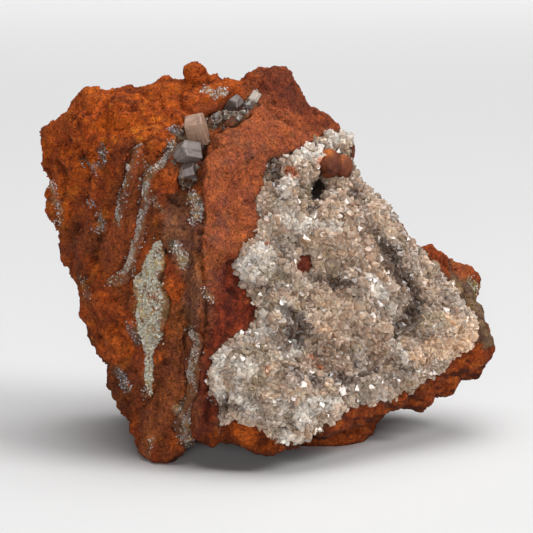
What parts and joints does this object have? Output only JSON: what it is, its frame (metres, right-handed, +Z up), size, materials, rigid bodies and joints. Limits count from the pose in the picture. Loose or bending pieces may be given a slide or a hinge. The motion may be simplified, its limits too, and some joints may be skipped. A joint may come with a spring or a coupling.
{
  "type": "mineral specimen",
  "caption": "Broken block of orange-brown iron oxide rock with a sloping crust of grey-white adamite crystals, standing on feet of its own.",
  "frame": {"origin": "centre of the bounding box at the level the rock stands on", "axes": "+Z up, +X along the rock's length towards the low right-hand end, -Y towards the viewer and the crystal face"},
  "size_m": [0.0712, 0.0472, 0.0585],
  "materials": {
    "iron_oxide_rock": "rough, earthy",
    "adamite": "vitreous crystals",
    "pale_adamite": "dull druse",
    "drusy_seam": "fine druse",
    "smoky_crystals": "vitreous crystals",
    "oxide_nodules": "dull, smooth",
    "oxide_tuft": "powdery"
  },
  "bodies": {
    "root": {"matrix": "iron_oxide_rock", "front_crust": "adamite", "pale_crust": "pale_adamite", "upper_vein": "drusy_seam", "middle_vein": "drusy_seam", "lower_vein": "drusy_seam", "fissure_crystals": "smoky_crystals", "oxide_nodules": "oxide_nodules", "oxide_tuft": "oxide_tuft"}
  },
  "joints": []
}
